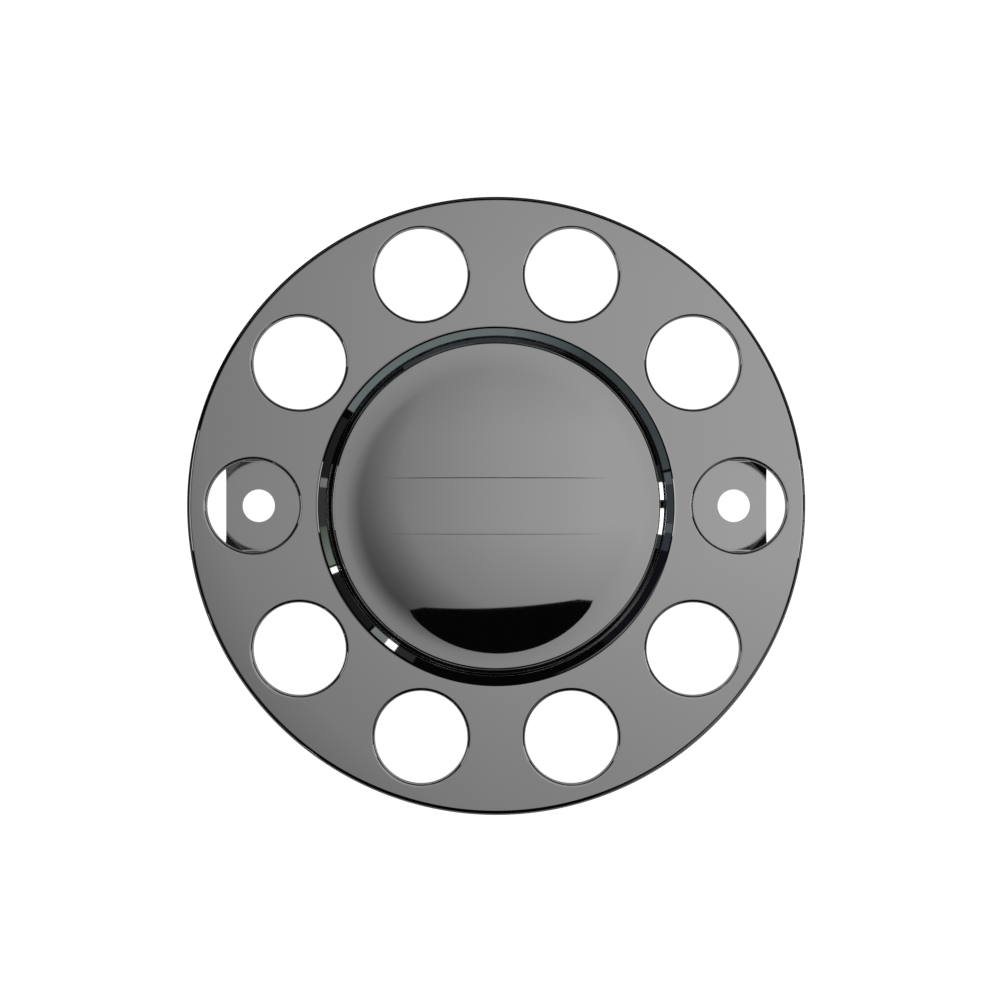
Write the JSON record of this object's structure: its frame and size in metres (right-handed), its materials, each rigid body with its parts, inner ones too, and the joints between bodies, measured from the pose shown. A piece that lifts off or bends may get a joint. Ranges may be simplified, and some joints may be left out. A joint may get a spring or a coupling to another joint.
{
  "type": "truck wheel simulator",
  "caption": "Polished stainless truck wheel cover with a ring of flanged nut openings, a raised domed crown and two folded fixing brackets welded behind it.",
  "frame": {"origin": "on the wheel's axis, in the plane of the bracket plates' back faces, which seat on the wheel", "axes": "+Z along the wheel's axis, away from the wheel, so the polished face looks along +Z; +X through the right-hand bracket; +Y up on the wheel as pictured"},
  "size_m": [0.426, 0.426, 0.1014],
  "materials": {
    "polished_stainless": "mirror-polished stainless steel sheet, duller on its back",
    "bracket_stainless": "bright-rolled stainless steel strap"
  },
  "bodies": {
    "root": {"wheel_cover": "polished_stainless", "bracket_left": "bracket_stainless", "bracket_right": "bracket_stainless"}
  },
  "joints": []
}
